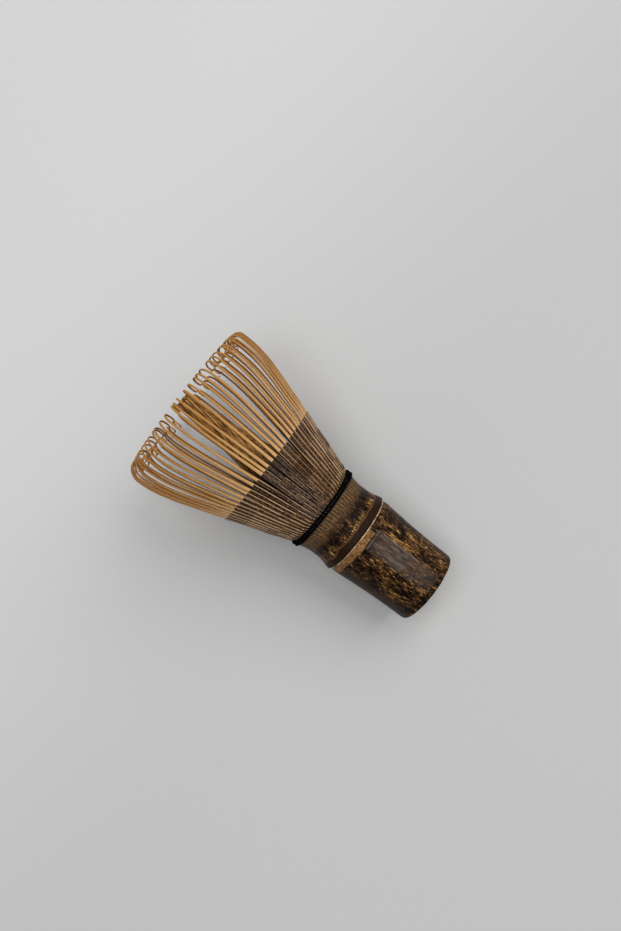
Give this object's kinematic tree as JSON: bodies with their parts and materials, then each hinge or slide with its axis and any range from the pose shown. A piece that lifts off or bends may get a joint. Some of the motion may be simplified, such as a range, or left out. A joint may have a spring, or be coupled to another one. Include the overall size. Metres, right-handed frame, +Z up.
{
  "type": "bamboo tea whisk",
  "caption": "Hand tea whisk split from one bamboo culm: hollow handle, node, thread-bound root, flared ring of curled outer tines and a twisted inner core.",
  "frame": {"origin": "centre of the open end of the handle, at the height of the rim it stands on", "axes": "+Z up along the axis of the culm, towards the tips of the tines; the shaved flat on the handle faces 7 degrees from -Y towards +X"},
  "size_m": [0.0638, 0.0638, 0.1105],
  "materials": {
    "smoked_skin": "smoked bamboo skin, dark brown with golden streaks, satin",
    "cut_bamboo": "raw cut bamboo, matt",
    "shaved_bamboo": "smoked skin near the root, shaved pale bamboo above, satin",
    "core_bamboo": "split inner culm, brown, matt",
    "thread": "black two-ply cotton thread, matt"
  },
  "bodies": {
    "culm": {"handle": "smoked_skin", "node_septum": "cut_bamboo", "neck": "smoked_skin", "thread_spacer_turn": "thread", "thread_lower_turn": "thread", "thread_upper_turn": "thread", "thread_knot": "thread", "inner_strip_01": "core_bamboo", "inner_strip_02": "core_bamboo", "inner_strip_03": "core_bamboo", "inner_strip_04": "core_bamboo", "inner_strip_05": "core_bamboo", "inner_strip_06": "core_bamboo", "inner_strip_07": "core_bamboo", "inner_strip_08": "core_bamboo", "inner_strip_09": "core_bamboo", "inner_strip_10": "core_bamboo", "inner_strip_11": "core_bamboo", "inner_strip_12": "core_bamboo"},
    "outer_tines_01": {"outer_strip_01": "shaved_bamboo"},
    "outer_tines_02": {"outer_strip_02": "shaved_bamboo"},
    "outer_tines_03": {"outer_strip_03": "shaved_bamboo"},
    "outer_tines_04": {"outer_strip_04": "shaved_bamboo"},
    "outer_tines_05": {"outer_strip_05": "shaved_bamboo"},
    "outer_tines_06": {"outer_strip_06": "shaved_bamboo"},
    "outer_tines_07": {"outer_strip_07": "shaved_bamboo"},
    "outer_tines_08": {"outer_strip_08": "shaved_bamboo"},
    "outer_tines_09": {"outer_strip_09": "shaved_bamboo"},
    "outer_tines_10": {"outer_strip_10": "shaved_bamboo"},
    "outer_tines_11": {"outer_strip_11": "shaved_bamboo"},
    "outer_tines_12": {"outer_strip_12": "shaved_bamboo"}
  },
  "joints": [
    {"name": "tine_flex_01", "type": "hinge", "parent": "culm", "child": "outer_tines_01", "pos_m": [0.01443, 0, 0.04755], "axis": [0, -1, 0], "range_deg": [-3, 3], "stiffness_Nm_per_rad": 0.02},
    {"name": "tine_flex_02", "type": "hinge", "parent": "culm", "child": "outer_tines_02", "pos_m": [0.01249, 0.00721, 0.04755], "axis": [0.5, -0.866, 0], "range_deg": [-3, 3], "stiffness_Nm_per_rad": 0.02},
    {"name": "tine_flex_03", "type": "hinge", "parent": "culm", "child": "outer_tines_03", "pos_m": [0.00721, 0.01249, 0.04755], "axis": [0.866, -0.5, 0], "range_deg": [-3, 3], "stiffness_Nm_per_rad": 0.02},
    {"name": "tine_flex_04", "type": "hinge", "parent": "culm", "child": "outer_tines_04", "pos_m": [0, 0.01443, 0.04755], "axis": [1, 0, 0], "range_deg": [-3, 3], "stiffness_Nm_per_rad": 0.02},
    {"name": "tine_flex_05", "type": "hinge", "parent": "culm", "child": "outer_tines_05", "pos_m": [-0.00721, 0.01249, 0.04755], "axis": [0.866, 0.5, 0], "range_deg": [-3, 3], "stiffness_Nm_per_rad": 0.02},
    {"name": "tine_flex_06", "type": "hinge", "parent": "culm", "child": "outer_tines_06", "pos_m": [-0.01249, 0.00721, 0.04755], "axis": [0.5, 0.866, 0], "range_deg": [-3, 3], "stiffness_Nm_per_rad": 0.02},
    {"name": "tine_flex_07", "type": "hinge", "parent": "culm", "child": "outer_tines_07", "pos_m": [-0.01443, 0, 0.04755], "axis": [0, 1, 0], "range_deg": [-3, 3], "stiffness_Nm_per_rad": 0.02},
    {"name": "tine_flex_08", "type": "hinge", "parent": "culm", "child": "outer_tines_08", "pos_m": [-0.01249, -0.00721, 0.04755], "axis": [-0.5, 0.866, 0], "range_deg": [-3, 3], "stiffness_Nm_per_rad": 0.02},
    {"name": "tine_flex_09", "type": "hinge", "parent": "culm", "child": "outer_tines_09", "pos_m": [-0.00721, -0.01249, 0.04755], "axis": [-0.866, 0.5, 0], "range_deg": [-3, 3], "stiffness_Nm_per_rad": 0.02},
    {"name": "tine_flex_10", "type": "hinge", "parent": "culm", "child": "outer_tines_10", "pos_m": [0, -0.01443, 0.04755], "axis": [-1, 0, 0], "range_deg": [-3, 3], "stiffness_Nm_per_rad": 0.02},
    {"name": "tine_flex_11", "type": "hinge", "parent": "culm", "child": "outer_tines_11", "pos_m": [0.00721, -0.01249, 0.04755], "axis": [-0.866, -0.5, 0], "range_deg": [-3, 3], "stiffness_Nm_per_rad": 0.02},
    {"name": "tine_flex_12", "type": "hinge", "parent": "culm", "child": "outer_tines_12", "pos_m": [0.01249, -0.00721, 0.04755], "axis": [-0.5, -0.866, 0], "range_deg": [-3, 3], "stiffness_Nm_per_rad": 0.02}
  ]
}
